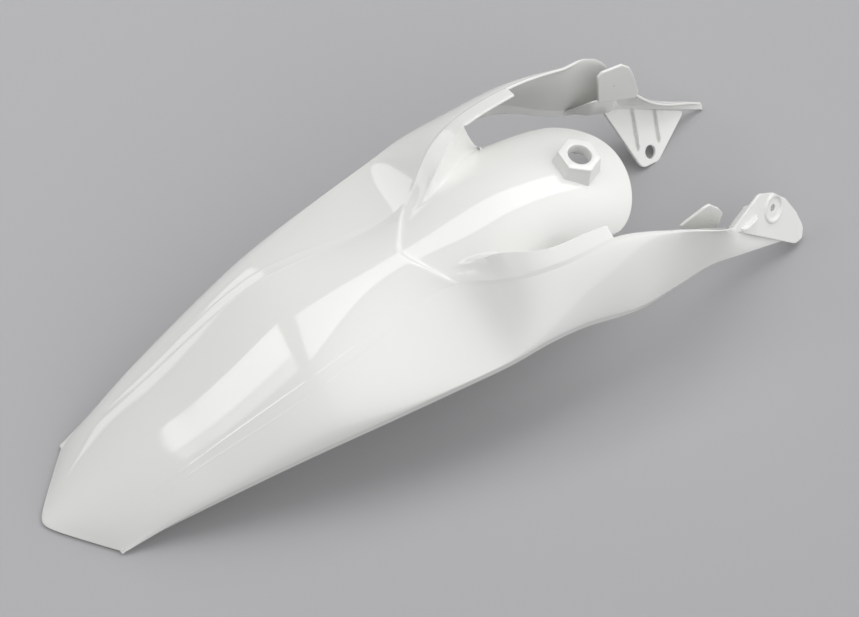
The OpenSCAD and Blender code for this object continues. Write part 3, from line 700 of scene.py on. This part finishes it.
def plasticMaterial():
    material = bpy.data.materials.new("glossPlastic")
    material.use_nodes = True
    nodes, links = material.node_tree.nodes, material.node_tree.links
    shader = nodes["Principled BSDF"]
    shader.inputs["IOR"].default_value = plastic["ior"]
    cloud = addNoise(nodes, links, plastic["cloudScale"], detail=3)
    addTint(nodes, links, cloud, plastic["colour"], plastic["spread"])
    gloss = nodes.new("ShaderNodeMapRange")
    gloss.inputs["To Min"].default_value = plastic["roughness"] - plastic["grain"]
    gloss.inputs["To Max"].default_value = plastic["roughness"] + plastic["grain"]
    links.new(addNoise(nodes, links, plastic["smearScale"], detail=5), gloss.inputs["Value"])
    links.new(gloss.outputs["Result"], shader.inputs["Roughness"])
    bump = nodes.new("ShaderNodeBump")
    bump.inputs["Strength"].default_value = plastic["depth"]
    bump.inputs["Distance"].default_value = 0.001
    links.new(addNoise(nodes, links, plastic["peelScale"]), bump.inputs["Height"])
    links.new(bump.outputs["Normal"], shader.inputs["Normal"])
    return material


# Everything below is the studio, in metres from the frame's origin
floor = {"colour": (0.41, 0.41, 0.42), "spread": (0.98, 1.02), "cloudScale": 1.5, "roughness": 0.9,
         "size": 14.0, "gap": 0.0003}


def floorMaterial():
    material = bpy.data.materials.new("studioFloor")
    material.use_nodes = True
    nodes, links = material.node_tree.nodes, material.node_tree.links
    nodes["Principled BSDF"].inputs["Roughness"].default_value = floor["roughness"]
    cloud = addNoise(nodes, links, floor["cloudScale"])
    addTint(nodes, links, cloud, floor["colour"], floor["spread"])
    return material


def addFloor():
    half = floor["size"] / 2
    mesh = bpy.data.meshes.new("studioFloor")
    mesh.from_pydata([(-half, -half, 0), (half, -half, 0), (half, half, 0), (-half, half, 0)], [],
                     [(0, 1, 2, 3)])
    sheet = bpy.data.objects.new("studioFloor", mesh)
    bpy.context.scene.collection.objects.link(sheet)
    sheet.location = (0, 0, -origin[2] / 1000 - floor["gap"])
    mesh.materials.append(floorMaterial())


# Softboxes hang over the fender. The ones over the tail are split, with a dimmer near
# side. The window stands low on the far side
lights = {
    "softbox": {"place": (1.0, 0.65, 2.4), "target": (1.0, 0.65, 0), "size": (4.4, 1.4), "radiance": 2.25},
    "tailbox": {"place": (-2.345, 1.025, 2.4), "target": (-2.345, 1.025, 0), "size": (1.49, 1.15),
                "radiance": 3.3},
    "tailside": {"place": (-2.345, 0.225, 2.4), "target": (-2.345, 0.225, 0), "size": (1.49, 0.45),
                 "radiance": 1.6},
    "window": {"place": (-1.2, 2.7, 0.55), "target": (0, 0, 0), "size": (1.8, 0.9), "radiance": 1.7},
}


# Rectangular light that faces its target. Its power gives the radiance asked for
def addLight(name, size):
    width, length = size["size"]
    light = bpy.data.lights.new(name, "AREA")
    light.shape = "RECTANGLE"
    light.size, light.size_y = width, length
    light.energy = size["radiance"] * math.pi * width * length
    lamp = bpy.data.objects.new(name, light)
    bpy.context.scene.collection.objects.link(lamp)
    lamp.location = size["place"]
    lamp.rotation_euler = (Vector(size["target"]) - lamp.location).to_track_quat("-Z", "Y").to_euler()


# Sky that grows brighter in one direction, toward the viewer and the front
sky = {"low": 0.2, "high": 1.4, "toward": (0.62, -0.72, 0.3)}


def addWorld():
    world = bpy.data.worlds.new("studio")
    world.use_nodes = True
    nodes, links = world.node_tree.nodes, world.node_tree.links
    background = nodes["Background"]
    background.inputs["Color"].default_value = (1, 1, 1, 1)
    direction = nodes.new("ShaderNodeTexCoord")
    lean = nodes.new("ShaderNodeVectorMath")
    lean.operation = "DOT_PRODUCT"
    lean.inputs[1].default_value = sky["toward"]
    links.new(direction.outputs["Generated"], lean.inputs[0])
    level = nodes.new("ShaderNodeMapRange")
    level.inputs["To Min"].default_value = sky["low"]
    level.inputs["To Max"].default_value = sky["high"]
    links.new(lean.outputs["Value"], level.inputs["Value"])
    links.new(level.outputs["Result"], background.inputs["Strength"])
    bpy.context.scene.world = world


# Camera matched to the photograph: its direction in degrees, its place in millimetres
# to the right, up and back from the tail tip along its own axes, and its focal length
# and the picture's width in pixels. Direction, distance and offset were solved from
# the fender's left and right features
view = {"turn": 29.94, "lift": 59.76, "right": 317.65, "up": 177.48, "back": 2464.19,
        "focalPixels": 3000, "widthPixels": 859}


def addCamera():
    turn, lift = math.radians(view["turn"]), math.radians(view["lift"])
    back = np.array([-math.sin(turn) * math.cos(lift), -math.cos(turn) * math.cos(lift), math.sin(lift)])
    right = np.array([math.cos(turn), -math.sin(turn), 0])
    up = np.cross(back, right)
    place = right * view["right"] + up * view["up"] + back * view["back"] - origin
    camera = bpy.data.cameras.new("camera")
    camera.sensor_width = 36
    camera.lens = view["focalPixels"] * camera.sensor_width / view["widthPixels"]
    camera.clip_start, camera.clip_end = 0.05, 60
    viewer = bpy.data.objects.new("camera", camera)
    bpy.context.scene.collection.objects.link(viewer)
    rotation = Matrix([right, up, back]).transposed()
    viewer.matrix_world = Matrix.Translation(Vector(place / 1000)) @ rotation.to_4x4()
    bpy.context.scene.camera = viewer


pieces = [buildShell()]
print("shell:", len(pieces[0].data.polygons), "faces")
pieces.append(buildBoss())
pieces.append(buildLug("fenderBracket", bracket, bracketRelief))
pieces.append(buildLug("fenderEar", ear, earRelief))
print("boss, bracket and ear done")
for way, word, corners in ((1, "Left", tab["left"]), (-1, "Right", tab["right"])):
    pieces.append(buildTab("fenderTab" + word, way, corners))
    pieces.append(buildBand("fenderBand" + word, way))
print("tabs and bands done")
material = plasticMaterial()
for piece in pieces:
    piece.data.materials.append(material)
print("plastic done")

addFloor()
addCamera()
addWorld()
for name, size in lights.items():
    addLight(name, size)
scene = bpy.context.scene
scene.render.engine = "CYCLES"
scene.cycles.samples = 192
scene.cycles.use_denoising = True
scene.view_settings.view_transform = "Standard"
print("studio done")
